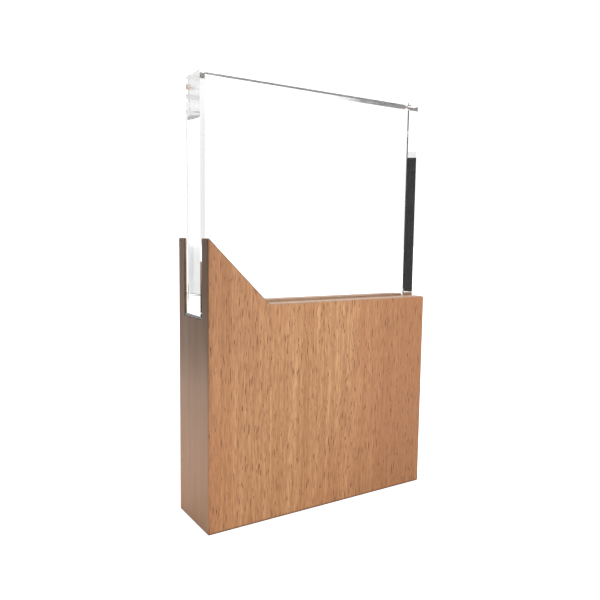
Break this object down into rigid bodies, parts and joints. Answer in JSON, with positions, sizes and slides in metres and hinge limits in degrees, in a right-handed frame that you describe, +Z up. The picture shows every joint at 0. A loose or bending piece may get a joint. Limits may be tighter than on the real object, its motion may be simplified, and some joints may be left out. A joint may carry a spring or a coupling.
{
  "type": "display plaque",
  "caption": "Clear bevelled slab standing in a through slot along a solid beech base whose left end rises to a slanted horn; the slab lifts out.",
  "frame": {"origin": "centre of the base's footprint, on the surface it stands on", "axes": "+Z up; +X along the base, away from the horn; +Y from the front face to the back"},
  "size_m": [0.1, 0.0266, 0.1623],
  "materials": {
    "beech": "sanded beech, thin matt oil, long grain upright",
    "foam": "thin closed-cell foam strip, matt grey",
    "clear_slab": "water-clear acrylic, polished faces and bevels"
  },
  "bodies": {
    "base": {"wooden_base": "beech", "foam_strip": "foam"},
    "slab": {"clear_slab": "clear_slab"}
  },
  "joints": [
    {"name": "slab_lift", "type": "slide", "parent": "base", "child": "slab", "axis": [0, 0, 1], "range_m": [0, 0.035]}
  ]
}
